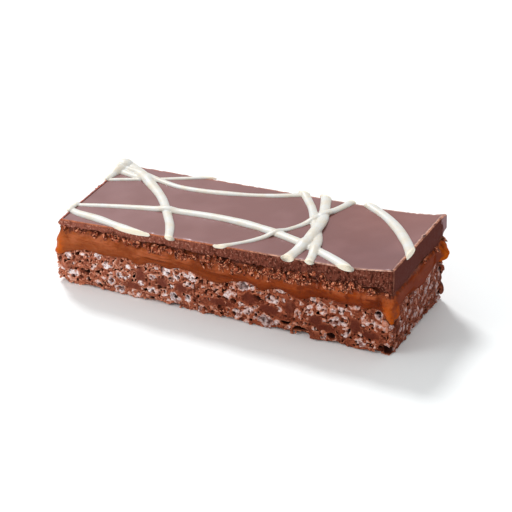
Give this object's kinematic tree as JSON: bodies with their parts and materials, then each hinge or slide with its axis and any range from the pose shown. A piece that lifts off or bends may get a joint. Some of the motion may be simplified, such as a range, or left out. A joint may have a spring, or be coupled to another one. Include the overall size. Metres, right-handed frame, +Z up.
{
  "type": "caramel crispy bar",
  "caption": "Cut bar of crisped-rice cake with a caramel layer, a milk chocolate slab and a white chocolate drizzle, lying on its base.",
  "frame": {"origin": "on the surface that the bar lies on, under the middle of its bounding box", "axes": "+X along the bar towards its thicker end, +Y to its back, +Z up through the layers"},
  "size_m": [0.106, 0.041, 0.0281],
  "materials": {
    "crispy_base": "crumbly crisped rice set in milk chocolate, dull, with pale grey kernels in brown crumb",
    "caramel": "soft caramel, glossy, orange brown",
    "milk_chocolate": "set milk chocolate, satin on top and matt with a fine grain where it was sawn",
    "white_chocolate": "set white chocolate, satin, warm white"
  },
  "bodies": {
    "root": {"crispy_base": "crispy_base", "caramel_layer": "caramel", "chocolate_top": "milk_chocolate"}
  },
  "joints": []
}
